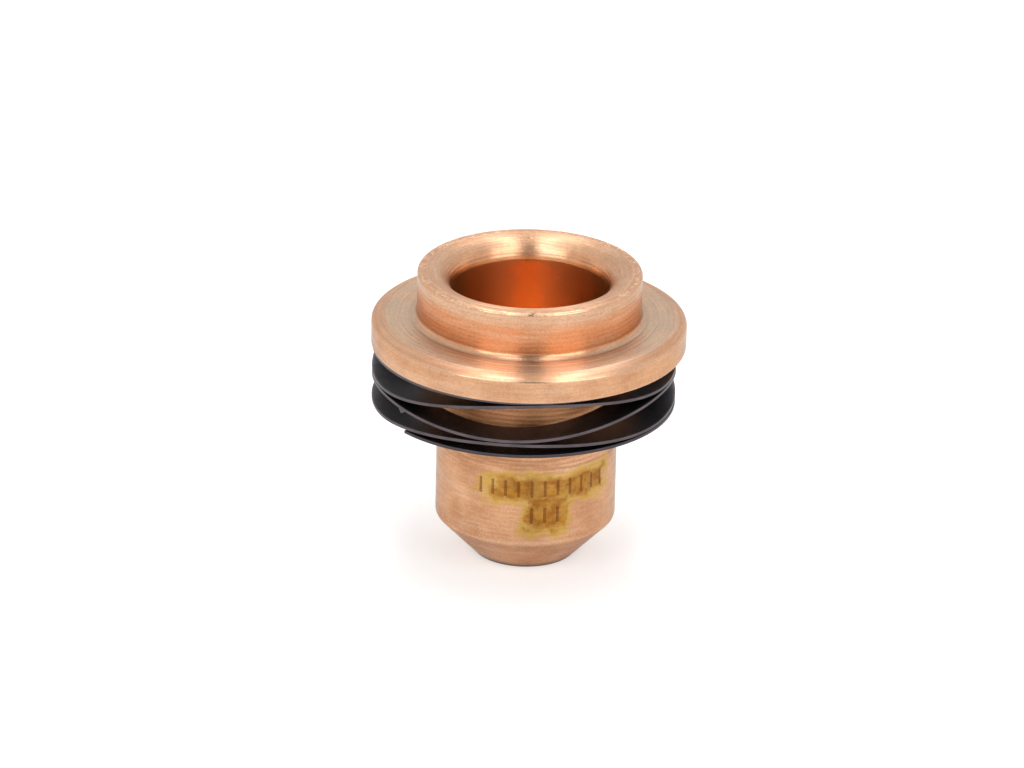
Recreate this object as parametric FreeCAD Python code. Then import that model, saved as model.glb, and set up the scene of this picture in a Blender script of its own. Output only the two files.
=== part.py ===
import FreeCAD, Part
import os
from math import atan2, cos, hypot, pi, radians, sin, tan

# Plasma torch nozzle: one turned copper body that carries a captive flat-wire wave spring.
# Millimetres. +Z runs up the axis of revolution, from the tip face at Z = 0 to the open mouth.
# The front of the part, as it is usually seen, faces -Y. Angles along the wire are in degrees:
# they count from the front, grow towards +X, and go up by 360 with each turn.

# Tip and lower body
tip_radius = 4.1
cone_height = 3.3
cone_bevel = 0.16
body_radius = 7.2
body_top_z = 12.27

# Neck that carries the spring, and the lip that keeps it there
neck_radius = 8.7
neck_length = 4.95
lip_height = 0.7
lip_hold = 0.32

# Flange, from its underside to its flat top
flange_overhang = 0.42
flange_rim_height = 1.81
flange_bevel_width = 0.7
flange_bevel_height = 0.4

# Collar and its trumpet mouth
collar_radius = 8.9
collar_height = 3.8
collar_root_bevel = 0.25
land_width = 0.73
land_dish = 0.1
flare_radius = 1.35
flare_depth = 1.38
flare_angle = 78.0

# Bore, inner chamber and orifice
bore_radius = 6.2
bore_depth = 10.9
chamber_radius = 5.2
chamber_floor_z = 6.4
orifice_radius = 0.95
orifice_length = 2.9
orifice_chamfer = 0.2

# Small flat that breaks each turned edge
edge_break = 0.08

# Wire of the spring, and how the spring sits on the neck
wire_thickness = 0.25
wire_width = 2.65
spring_bore_gap = 0.73
spring_side_play = 0.33
spring_tilt = 0.35
seat_gap = 0.02
head_gap = 0.04
turn_gap = 0.05

# Waves of the spring, between a flat turn below and a flat turn above
waves_per_turn = 2.455
waved_crests = 5
wave_growth = 0.433
crest_zero_angle = -10.4
wire_start_angle = -410.0
lower_flat_end_angle = -110.0
waves_start_angle = -50.0
path_step_angle = 10.0

spring_inner_radius = neck_radius + spring_bore_gap
spring_outer_radius = spring_inner_radius + wire_width
lip_radius = spring_inner_radius + lip_hold
flange_radius = spring_outer_radius + flange_overhang

lip_top_z = body_top_z + lip_height
flange_z = lip_top_z + neck_length
flange_rim_z = flange_z + flange_rim_height
flange_top_z = flange_rim_z + flange_bevel_height
mouth_z = flange_top_z + collar_height
flare_z = mouth_z - land_dish
throat_z = flare_z - flare_depth
flare_corner_radius = bore_radius + flare_depth / tan(radians(flare_angle))
bore_floor_z = mouth_z - bore_depth

# The tilted spring touches the lip at the back and the flange at the front
tilt_at_lip = lip_radius * tan(radians(spring_tilt))
tilt_at_flange = spring_outer_radius * tan(radians(spring_tilt))
spring_z = lip_top_z + seat_gap + tilt_at_lip
spring_height = neck_length - seat_gap - head_gap - tilt_at_lip - tilt_at_flange
turn_pitch = wire_thickness + turn_gap


def crest_angle(number):
    """Angle along the wire of a crest, counted from 0. Halves give the troughs between."""
    return crest_zero_angle + 360.0 * number / waves_per_turn


first_trough_angle = crest_angle(0.5)
last_crest_angle = crest_angle(waved_crests)
last_trough_angle = crest_angle(waved_crests + 0.5)
upper_flat_start_angle = crest_angle(waved_crests + 1)
wire_end_angle = last_trough_angle + 360.0


def wave_shape(angle):
    """Height of the waved wire for waves of 1 mm at angle 0 and wire of no thickness.

    The middle of the waves climbs just enough for each crest to meet the trough above it.
    """
    turns = angle / 360.0
    climb = 2.0 * abs(sin(pi * waves_per_turn)) * (turns + wave_growth * turns * turns / 2.0)
    size = 1.0 + wave_growth * turns
    return climb + size * cos(radians(waves_per_turn * (angle - crest_zero_angle)))


# The waves are as high as the room between the two flat turns leaves them
waves_room = spring_height - 3.0 * wire_thickness - 2.0 * turn_gap
wave_lift_room = waves_room - turn_pitch * (last_crest_angle - first_trough_angle) / 360.0
wave_height = wave_lift_room / (wave_shape(last_crest_angle) - wave_shape(first_trough_angle))
top_level = spring_height - wire_thickness


def wave_level(angle):
    """Height of the waved wire over the lower flat turn."""
    waves = wave_height * (wave_shape(angle) - wave_shape(first_trough_angle))
    return turn_pitch * (1.0 + (angle - first_trough_angle) / 360.0) + waves


def ease(share):
    """Smooth step from 0 to 1 over a share from 0 to 1."""
    held = min(max(share, 0.0), 1.0)
    return held * held * (3.0 - 2.0 * held)


def wire_level(angle):
    """Height of the wire over the lower flat turn, anywhere along the wire."""
    into_waves = ease((angle - lower_flat_end_angle) / (waves_start_angle - lower_flat_end_angle))
    into_flat = ease((angle - last_trough_angle) / (upper_flat_start_angle - last_trough_angle))
    return into_waves * ((1.0 - into_flat) * wave_level(angle) + into_flat * top_level)


def sharp(radius, height):
    """A corner of the body's section that stays sharp."""
    return radius, height, "sharp", 0.0


def bevelled(radius, height, size):
    """A corner cut by a straight bevel of its own size along both sides."""
    return radius, height, "bevelled", size


def broken(radius, height):
    """A corner with the small flat that breaks a turned edge."""
    return bevelled(radius, height, edge_break)


def rounded(radius, height, rounding):
    """A corner with a round of its own radius."""
    return radius, height, "rounded", rounding


def cut_corner(before, corner, after):
    """Where the outline leaves a corner's two sides, and the middle of its round if it has one."""
    across, up, kind, size = corner
    back = atan2(before[1] - up, before[0] - across)
    ahead = atan2(after[1] - up, after[0] - across)
    opening = abs(ahead - back)
    half = min(opening, 2.0 * pi - opening) / 2.0
    reach = size / tan(half) if kind == "rounded" else size
    start = FreeCAD.Vector(across + reach * cos(back), 0.0, up + reach * sin(back))
    end = FreeCAD.Vector(across + reach * cos(ahead), 0.0, up + reach * sin(ahead))
    if kind != "rounded":
        return start, None, end
    tip = FreeCAD.Vector(across, 0.0, up)
    inward = (start + end) / 2.0 - tip
    middle = tip + inward * ((size / sin(half) - size) / inward.Length)
    return start, middle, end


def section_wire(corners):
    """Closed outline of the section, in the XZ plane, through its corners."""
    cuts = []
    for index, corner in enumerate(corners):
        following = corners[(index + 1) % len(corners)]
        cuts.append(cut_corner(corners[index - 1], corner, following))
    edges = []
    for index, (start, middle, end) in enumerate(cuts):
        if middle is not None:
            edges.append(Part.Arc(start, middle, end).toBSpline().toShape())
        elif start.distanceToPoint(end) > 0.0:
            edges.append(Part.LineSegment(start, end).toShape())
        following_start = cuts[(index + 1) % len(cuts)][0]
        edges.append(Part.LineSegment(end, following_start).toShape())
    return Part.Wire(edges)


def nozzle_body():
    """The copper body, revolved from one section."""
    outside = [
        sharp(orifice_radius + orifice_chamfer, 0.0),
        broken(tip_radius, 0.0),
        bevelled(body_radius, cone_height, cone_bevel),
        sharp(body_radius, body_top_z),
        broken(lip_radius, body_top_z),
        broken(lip_radius, lip_top_z),
        sharp(neck_radius, lip_top_z),
        sharp(neck_radius, flange_z),
        broken(flange_radius, flange_z),
        broken(flange_radius, flange_rim_z),
        broken(flange_radius - flange_bevel_width, flange_top_z),
        bevelled(collar_radius, flange_top_z, collar_root_bevel),
        broken(collar_radius, mouth_z),
    ]
    inside = [
        sharp(collar_radius - land_width, mouth_z),
        rounded(flare_corner_radius, flare_z, flare_radius),
        broken(bore_radius, throat_z),
        sharp(bore_radius, bore_floor_z),
        broken(chamber_radius, bore_floor_z),
        broken(chamber_radius, chamber_floor_z),
        sharp(orifice_radius, orifice_length),
        sharp(orifice_radius, orifice_chamfer),
    ]
    section = Part.Face(section_wire(outside + inside))
    return section.revolve(FreeCAD.Vector(0.0, 0.0, 0.0), FreeCAD.Vector(0.0, 0.0, 1.0), 360.0)


def waved_edge(radius, lift):
    """One long edge of the waved wire, at a radius and a lift over the wire's underside."""
    stretch = upper_flat_start_angle - lower_flat_end_angle
    steps = int(round(stretch / path_step_angle))
    points = []
    for index in range(steps + 1):
        angle = lower_flat_end_angle + stretch * index / steps
        turn = radians(angle)
        points.append(FreeCAD.Vector(radius * sin(turn), -radius * cos(turn), wire_level(angle) + lift))
    curve = Part.BSplineCurve()
    curve.interpolate(Points=points, Parameters=[float(index) for index in range(steps + 1)])
    return curve


def ruled_strip(first, second):
    """The surface of straight lines between two edges that share their knots."""
    poles = [first.getPoles(), second.getPoles()]
    strip = Part.BSplineSurface()
    strip.buildFromPolesMultsKnots(
        poles, [2, 2], first.getMultiplicities(), [0.0, 1.0], first.getKnots(), False, False, 1, first.Degree
    )
    return strip.toShape()


def closed_face(points):
    """Flat four-cornered face through points in order."""
    return Part.Face(Part.makePolygon(points + [points[0]]))


def waved_turns():
    """The waved stretch of the wire, from the end of the lower flat turn to the start of the upper one."""
    edges = [
        waved_edge(spring_inner_radius, 0.0),
        waved_edge(spring_outer_radius, 0.0),
        waved_edge(spring_outer_radius, wire_thickness),
        waved_edge(spring_inner_radius, wire_thickness),
    ]
    faces = [ruled_strip(edges[index - 1], edges[index]) for index in range(len(edges))]
    faces.append(closed_face([edge.StartPoint for edge in edges]))
    faces.append(closed_face([edge.EndPoint for edge in edges]))
    shell = Part.makeShell(faces)
    shell.sewShape()
    waves = Part.makeSolid(shell)
    if waves.Volume < 0.0:
        waves.reverse()
    return waves


def flat_turn(start, end, level):
    """A flat stretch of the wire between two angles along it, with its underside at a level."""
    section = closed_face(
        [
            FreeCAD.Vector(spring_inner_radius, 0.0, level),
            FreeCAD.Vector(spring_outer_radius, 0.0, level),
            FreeCAD.Vector(spring_outer_radius, 0.0, level + wire_thickness),
            FreeCAD.Vector(spring_inner_radius, 0.0, level + wire_thickness),
        ]
    )
    section.rotate(FreeCAD.Vector(0.0, 0.0, 0.0), FreeCAD.Vector(0.0, 0.0, 1.0), start - 90.0)
    return section.revolve(FreeCAD.Vector(0.0, 0.0, 0.0), FreeCAD.Vector(0.0, 0.0, 1.0), end - start)


def wave_spring():
    """The wave spring: a flat turn, waved turns that meet crest to crest, and a flat turn, in one wire."""
    lower = flat_turn(wire_start_angle, lower_flat_end_angle, 0.0)
    upper = flat_turn(upper_flat_start_angle, wire_end_angle, top_level)
    spring = waved_turns().fuse([lower, upper]).Solids[0]
    spring.rotate(FreeCAD.Vector(0.0, 0.0, 0.0), FreeCAD.Vector(1.0, 0.0, 0.0), -spring_tilt)
    spring.translate(FreeCAD.Vector(-spring_side_play, 0.0, spring_z))
    return spring


def main():
    """Write each piece to its own STEP file and print what it measures."""
    os.makedirs("parts", exist_ok=True)
    pieces = {"nozzle_body": nozzle_body(), "wave_spring": wave_spring()}
    for name, shape in pieces.items():
        box = shape.BoundBox
        print(name, "valid", shape.isValid(), "solids", len(shape.Solids), "volume", round(shape.Volume, 3))
        print("  z", round(box.ZMin, 3), round(box.ZMax, 3), "x", round(box.XMin, 3), round(box.XMax, 3))
        shape.exportStep("parts/" + name + ".step")


main()
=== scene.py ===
import logging
from dataclasses import dataclass, field
from enum import Enum
from math import atan2, ceil, cos, degrees, exp, pi, radians, sin, tan

import bmesh
import bpy
import numpy as np
from mathutils import Matrix, Vector


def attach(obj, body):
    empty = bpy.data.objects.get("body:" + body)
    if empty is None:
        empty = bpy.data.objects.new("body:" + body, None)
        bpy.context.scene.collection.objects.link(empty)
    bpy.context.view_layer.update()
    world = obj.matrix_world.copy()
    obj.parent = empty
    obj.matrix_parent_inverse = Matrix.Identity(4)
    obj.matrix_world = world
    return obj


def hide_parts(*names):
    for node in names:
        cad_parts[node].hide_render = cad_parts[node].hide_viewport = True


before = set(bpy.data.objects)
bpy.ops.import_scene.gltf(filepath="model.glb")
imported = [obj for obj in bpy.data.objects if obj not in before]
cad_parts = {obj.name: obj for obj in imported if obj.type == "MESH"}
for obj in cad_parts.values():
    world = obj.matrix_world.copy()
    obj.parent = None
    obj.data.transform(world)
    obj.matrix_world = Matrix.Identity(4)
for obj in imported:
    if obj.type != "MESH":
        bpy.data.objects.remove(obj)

# The pieces' sizes are given in millimetres, as on a drawing, and turned into metres where a mesh is made.
# +Z runs up the axis from the tip, -Y faces the viewer, +X is on the viewer's right.

log = logging.getLogger("nozzle")

Socket = bpy.types.NodeSocket
Value = Socket | float | int | tuple
Pair = tuple[float, float]
Colour = tuple[float, float, float, float]

MM = 0.001
WHITE: Colour = (1.0, 1.0, 1.0, 1.0)


class Bend(Enum):
    """Which way the outline turns at a corner of the section."""

    OUTWARD = 1
    INWARD = -1


class Side(Enum):
    """Which side of the viewer a lamp stands on."""

    LEFT = -1
    RIGHT = 1


@dataclass
class NodeSheet:
    """Puts nodes into one tree and joins them, for materials and for Geometry Nodes alike."""

    tree: bpy.types.NodeTree

    def feed(self, socket: Socket, value: Value) -> None:
        """Join a socket to another one, or set its value.

        Args:
            socket: The input to fill.
            value: An output socket to link, or a plain value.
        """
        if isinstance(value, Socket):
            self.tree.links.new(value, socket)
        else:
            socket.default_value = value

    def put(self, kind: str, inputs: dict | None = None, **settings: object) -> bpy.types.Node:
        """Add one node.

        Args:
            kind: Blender's name for the node type.
            inputs: What goes into its sockets, by name or number.
            settings: The node's own options.

        Returns:
            The new node.
        """
        node = self.tree.nodes.new(kind)
        for name, setting in settings.items():
            setattr(node, name, setting)
        for key, value in (inputs or {}).items():
            self.feed(node.inputs[key], value)
        return node

    def found(self, kind: str) -> bpy.types.Node:
        """The first node of one type that the tree already has."""
        return next(node for node in self.tree.nodes if node.type == kind)

    def math(self, operation: str, *values: Value) -> Socket:
        """One step of arithmetic on up to three values.

        Args:
            operation: Blender's name for the operation.
            values: The numbers or sockets it works on.

        Returns:
            The result's socket.
        """
        return self.put("ShaderNodeMath", dict(enumerate(values)), operation=operation).outputs[0]

    def total(self, *values: Value) -> Value:
        """Sum of several values."""
        result = values[0]
        for value in values[1:]:
            result = self.math("ADD", result, value)
        return result

    def product(self, *values: Value) -> Value:
        """Product of several values."""
        result = values[0]
        for value in values[1:]:
            result = self.math("MULTIPLY", result, value)
        return result

    def sway(self, value: Value, *strengths: Value) -> Value:
        """A value between 0 and 1 made to swing about 0, times its strengths."""
        return self.product(self.math("SUBTRACT", value, 0.5), *strengths)

    def eased(self, mask: Value, loss: float) -> Socket:
        """A strength that is 1 off a mask and less by a loss on it."""
        return self.math("MULTIPLY_ADD", mask, -loss, 1.0)

    def remap(
        self,
        value: Value,
        low: Value,
        high: Value,
        to_low: Value = 0.0,
        to_high: Value = 1.0,
        smooth: bool = True,
    ) -> Socket:
        """Carry a value from one range to another, held at both ends.

        Args:
            value: What is carried.
            low: The value that becomes to_low.
            high: The value that becomes to_high.
            to_low: Result at low.
            to_high: Result at high.
            smooth: Whether the change starts and ends gently.

        Returns:
            The result's socket.
        """
        kind = "SMOOTHSTEP" if smooth else "LINEAR"
        inputs = {0: value, 1: low, 2: high, 3: to_low, 4: to_high}
        return self.put("ShaderNodeMapRange", inputs, interpolation_type=kind, clamp=True).outputs[0]

    def band(self, value: Value, low: float, high: float, soft: float) -> Socket:
        """A mask that is 1 between two values and fades over a soft width at both."""
        rise = self.remap(value, low - soft, low + soft)
        fall = self.remap(value, high - soft, high + soft, 1.0, 0.0)
        return self.math("MULTIPLY", rise, fall)

    def vector(self, across: Value, along: Value, up: Value) -> Socket:
        """A vector of three values."""
        return self.put("ShaderNodeCombineXYZ", {0: across, 1: along, 2: up}).outputs[0]

    def parts(self, vector: Value) -> bpy.types.NodeOutputs:
        """The three values of a vector."""
        return self.put("ShaderNodeSeparateXYZ", {0: vector}).outputs

    def attribute(self, name: str) -> Socket:
        """A number that the mesh carries at each of its points."""
        return self.put("ShaderNodeAttribute", attribute_name=name).outputs["Fac"]

    def noise(
        self,
        place: Value,
        scale: float,
        detail: float = 2.0,
        roughness: float = 0.5,
        fourth: Value | None = None,
    ) -> Socket:
        """Soft noise between 0 and 1.

        Args:
            place: Where it is read.
            scale: How many lumps there are in one unit of place.
            detail: How many finer layers it has.
            roughness: How strong the finer layers are.
            fourth: A fourth coordinate, where three can't close a ring without a seam.

        Returns:
            The noise's socket.
        """
        inputs = {"Vector": place, "Scale": scale, "Detail": detail, "Roughness": roughness}
        if fourth is None:
            return self.put("ShaderNodeTexNoise", inputs).outputs[0]
        return self.put("ShaderNodeTexNoise", inputs | {"W": fourth}, noise_dimensions="4D").outputs[0]

    def blend(self, share: Value, first: Value, second: Value, kind: str = "MIX") -> Socket:
        """Mix two colours.

        Args:
            share: How much of the second is used.
            first: The colour that is there.
            second: The colour that is laid on it.
            kind: Blender's name for the way they are mixed.

        Returns:
            The mixed colour's socket.
        """
        inputs = {0: share, 6: first, 7: second}
        return self.put("ShaderNodeMix", inputs, data_type="RGBA", blend_type=kind).outputs[2]

    def layered(self, colour: Value, *layers: tuple) -> Value:
        """Lay colours on one another.

        Args:
            colour: The colour below.
            layers: For each layer its colour, then the masks and the strength that place it.

        Returns:
            The result's socket.
        """
        for tone, *masks in layers:
            colour = self.blend(self.product(*masks), colour, tone)
        return colour

    def steps(self, value: Value, base: float, gains: list[tuple[float, float, float]]) -> Value:
        """A line of straight ramps, each held outside its own stretch.

        Args:
            value: What the ramps run along.
            base: The result before the first ramp.
            gains: For each ramp where it starts, where it ends and how much it adds.

        Returns:
            The result's socket.
        """
        ramps = (self.remap(value, start, end, 0.0, gain, smooth=False) for start, end, gain in gains)
        return self.total(base, *ramps)


@dataclass(frozen=True)
class RoundPlace:
    """Sockets that say where a point lies on a thing turned about the Z axis, in millimetres."""

    spot: Socket
    radius: Socket
    height: Socket
    turn: Socket
    tangent: Socket

    def ring_marks(self, sheet: NodeSheet, pitch: float, breaks: float) -> Socket:
        """Noise that runs round the axis as the marks of a tool do, with no seam.

        Args:
            sheet: The material's nodes.
            pitch: Distance between marks in millimetres.
            breaks: How much the marks change in a radian of turn.

        Returns:
            The noise's socket, between 0 and 1.
        """
        way = sheet.parts(self.tangent)
        where = sheet.vector(
            sheet.math("DIVIDE", self.radius, pitch),
            sheet.math("DIVIDE", self.height, pitch),
            sheet.math("MULTIPLY", way[0], breaks),
        )
        return sheet.noise(where, 1.0, roughness=0.6, fourth=sheet.math("MULTIPLY", way[1], breaks))

    def ring(self, sheet: NodeSheet, radii: Pair, heights: Pair, soft: Pair) -> Socket:
        """A mask of what lies between two radii and between two heights, with a soft width for each."""
        wall = sheet.band(self.radius, *radii, soft[0])
        return sheet.product(wall, sheet.band(self.height, *heights, soft[1]))

    def rising_ring(
        self, sheet: NodeSheet, radii: Pair, soft: float, heights: Pair, shares: Pair = (0.0, 1.0)
    ) -> Socket:
        """A mask of what lies between two radii, which changes its share over a stretch of height."""
        wall = sheet.band(self.radius, *radii, soft)
        return sheet.product(wall, sheet.remap(self.height, *heights, *shares))

    @staticmethod
    def on(sheet: NodeSheet, offset: Pair = (0.0, 0.0)) -> "RoundPlace":
        """Read the place from the object's own coordinates.

        Args:
            sheet: The material's nodes.
            offset: Where the axis stands, in millimetres.

        Returns:
            The sockets. Turn is in degrees and grows from the front towards +X.
        """
        coordinates = sheet.put("ShaderNodeTexCoord").outputs["Object"]
        scaled = sheet.put("ShaderNodeVectorMath", {0: coordinates, "Scale": 1.0 / MM}, operation="SCALE")
        inputs = {0: scaled.outputs[0], 1: (-offset[0], -offset[1], 0.0)}
        spot = sheet.put("ShaderNodeVectorMath", inputs, operation="ADD").outputs[0]
        across, along, up = sheet.parts(spot)
        towards_front = sheet.product(along, -1.0)
        radius = sheet.math("SQRT", sheet.total(sheet.product(across, across), sheet.product(along, along)))
        turn = sheet.product(sheet.math("ARCTAN2", across, towards_front), degrees(1.0))
        around = sheet.vector(towards_front, across, 0.0)
        tangent = sheet.put("ShaderNodeVectorMath", {0: around}, operation="NORMALIZE").outputs[0]
        return RoundPlace(spot, radius, up, turn, tangent)


def new_material(name: str) -> tuple[bpy.types.Material, NodeSheet]:
    """Start a material.

    Args:
        name: The material's name.

    Returns:
        The material and its nodes, as Blender sets them out.
    """
    material = bpy.data.materials.new(name)
    material.use_nodes = True
    return material, NodeSheet(material.node_tree)


def new_object(name: str, data: bpy.types.ID, *materials: bpy.types.Material) -> bpy.types.Object:
    """Make an object and link it to the scene.

    Args:
        name: The object's name.
        data: Its mesh, lamp or camera.
        materials: What its mesh is made of.

    Returns:
        The object, at the origin.
    """
    made = bpy.data.objects.new(name, data)
    for material in materials:
        data.materials.append(material)
    bpy.context.scene.collection.objects.link(made)
    return made


@dataclass(frozen=True)
class Metal:
    """A metal with the marks of a tool round its axis."""

    roughness: float
    grooves: float
    relief_depth: float

    def feed_shader(
        self, sheet: NodeSheet, place: RoundPlace, colour: Value, rough: Value, relief: Value
    ) -> bpy.types.Node:
        """Feed the metal's shader, so that highlights stretch across the marks.

        Args:
            sheet: The material's nodes.
            place: Where the point lies, and which way the marks run.
            colour: The metal's colour.
            rough: Its roughness.
            relief: How high it stands, in steps of relief_depth millimetres.

        Returns:
            The shader.
        """
        shader = sheet.found("BSDF_PRINCIPLED")
        depth = self.relief_depth * MM
        bump = sheet.put("ShaderNodeBump", {"Height": relief, "Distance": depth, "Strength": 1.0})
        quarter_turn = 0.25
        inputs = {
            "Base Color": colour,
            "Roughness": rough,
            "Normal": bump.outputs[0],
            "Tangent": place.tangent,
            "Metallic": 1.0,
            "Anisotropic": self.grooves,
            "Anisotropic Rotation": quarter_turn,
        }
        for name, value in inputs.items():
            sheet.feed(shader.inputs[name], value)
        return shader


@dataclass(frozen=True)
class Stain:
    """The patch of heat tint on the front of the lower body, with its rows of plain ticks.

    Turns are in degrees from the front towards +X, and lengths in millimetres.
    """

    body_radius: float = 7.2
    wall_depth: float = 0.2
    band_turn: Pair = (-22.0, 57.0)
    band_height: Pair = (7.2, 9.15)
    faint_turn: Pair = (-36.0, -20.0)
    spot_turn: Pair = (0.0, 25.0)
    spot_height: Pair = (4.6, 7.4)
    wander_turn: float = 22.0
    wander_height: float = 1.5
    halo_reach: float = 0.5
    soft_edge: float = 0.34
    tick_pitch: float = 8.4
    tick_width: float = 0.21
    tick_height: float = 1.35
    stroke_edge: Pair = (0.8, 1.3)
    stroke_end: float = 0.06
    row_levels: Pair = (8.2, 5.9)
    row_end: float = 1.0
    straw_strength: float = 0.72
    tick_strength: float = 0.62
    amber: Colour = (0.47, 0.2, 0.028, 1.0)
    umber: Colour = (0.32, 0.11, 0.018, 1.0)
    straw: Colour = (0.6, 0.38, 0.065, 1.0)
    burnt: Colour = (0.17, 0.05, 0.012, 1.0)

    def as_turn(self, length: float) -> float:
        """Degrees that a length takes up round the body's wall."""
        return degrees(length / self.body_radius)

    def patch(
        self, sheet: NodeSheet, turn: Value, height: Value, turns: Pair, heights: Pair, grown: float = 0.0
    ) -> Socket:
        """Mask of one patch.

        Args:
            sheet: The material's nodes.
            turn: Turn of the point in degrees, with the edge's wander in it.
            height: Height of the point, with the edge's wander in it.
            turns: Where the patch starts and ends round the body.
            heights: Where it starts and ends up the body.
            grown: How far it is grown on every side.

        Returns:
            The mask's socket.
        """
        more_turn, soft_turn = self.as_turn(grown), self.as_turn(self.soft_edge)
        wide = sheet.band(turn, turns[0] - more_turn, turns[1] + more_turn, soft_turn)
        tall = sheet.band(height, heights[0] - grown, heights[1] + grown, self.soft_edge)
        return sheet.product(wide, tall)

    def tint(self, sheet: NodeSheet, place: RoundPlace) -> list[Socket]:
        """Where the tint is full, and where its straw-coloured rim reaches.

        Args:
            sheet: The material's nodes.
            place: Where the point lies.

        Returns:
            The two masks.
        """
        fine_lumps = sheet.sway(sheet.noise(place.spot, scale=3.5), 0.3)
        shift = sheet.total(sheet.sway(sheet.noise(place.spot, scale=0.8)), fine_lumps)
        turn = sheet.total(place.turn, sheet.product(shift, self.wander_turn))
        height = sheet.total(place.height, sheet.product(shift, self.wander_height))
        patches = ((self.band_turn, self.band_height), (self.spot_turn, self.spot_height))
        full, rim = (
            sheet.math("MAXIMUM", *(self.patch(sheet, turn, height, *patch, grown) for patch in patches))
            for grown in (0.0, self.halo_reach)
        )
        faint = self.patch(sheet, turn, height, self.faint_turn, self.band_height)
        broken = sheet.remap(sheet.noise(place.spot, scale=1.2), 0.42, 0.58)
        return [full, sheet.math("MAXIMUM", rim, sheet.product(faint, broken))]

    def ticks(self, sheet: NodeSheet, place: RoundPlace) -> Socket:
        """Where the strokes of the two rows are.

        Args:
            sheet: The material's nodes.
            place: Where the point lies.

        Returns:
            The mask's socket.
        """
        steps_round = sheet.math("DIVIDE", place.turn, self.tick_pitch)
        from_tick = sheet.math("ABSOLUTE", sheet.sway(sheet.math("FRACT", steps_round)))
        half_width = self.as_turn(self.tick_width / 2.0) / self.tick_pitch
        stroke = sheet.remap(from_tick, *(half_width * share for share in self.stroke_edge), 1.0, 0.0)
        half_height = self.tick_height / 2.0
        spans = ((self.faint_turn[0], self.band_turn[1]), self.spot_turn)
        rows = []
        for level, span in zip(self.row_levels, spans):
            tall = sheet.band(place.height, level - half_height, level + half_height, self.stroke_end)
            rows.append(sheet.product(tall, sheet.band(place.turn, *span, self.row_end)))
        return sheet.product(stroke, sheet.math("MAXIMUM", *rows))

    def lay(self, sheet: NodeSheet, place: RoundPlace, colour: Value) -> tuple[Value, Socket, Socket]:
        """Lay the heat tint and the ticks on the metal's colour.

        Args:
            sheet: The material's nodes.
            place: Where the point lies.
            colour: The colour below.

        Returns:
            The new colour, how strong the tint is, and where the ticks are.
        """
        outer, inner = self.body_radius + self.wall_depth, self.body_radius - self.wall_depth
        wall = sheet.band(place.radius, inner, outer, self.wall_depth / 2.0)
        masks = (*self.tint(sheet, place), self.ticks(sheet, place))
        full, rim, ticks = (sheet.product(mask, wall) for mask in masks)
        clouds = sheet.remap(sheet.noise(place.spot, 1.5, 3.0, 0.6), 0.32, 0.58)
        thin = sheet.remap(sheet.noise(place.spot, 0.9, 3.0, 0.65), 0.35, 0.6, 0.52, 0.9)
        cooked = sheet.blend(clouds, self.amber, self.umber)
        result = sheet.layered(
            colour,
            (self.straw, rim, self.straw_strength),
            (cooked, full, thin),
            (self.burnt, ticks, self.tick_strength),
        )
        return result, full, ticks


@dataclass(frozen=True)
class CopperZones:
    """Masks for the stretches of the copper body that have a look of their own, each from 0 to 1."""

    neck: Socket
    collar: Socket
    brow: Socket
    land: Socket
    flare: Socket
    bore: Socket
    open_air: Socket
    tooled: Socket
    level: Socket
    off_collar: Socket
    lively: Socket


@dataclass(frozen=True)
class CopperMarks:
    """Patterns in the copper, each from 0 to 1, but for lathe, a wave from -1 to 1."""

    broad: Socket
    feed: Socket
    fine: Socket
    scratches: Socket
    lathe: Socket
    clouds: Socket
    grain: Socket
    chips: Socket


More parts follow.
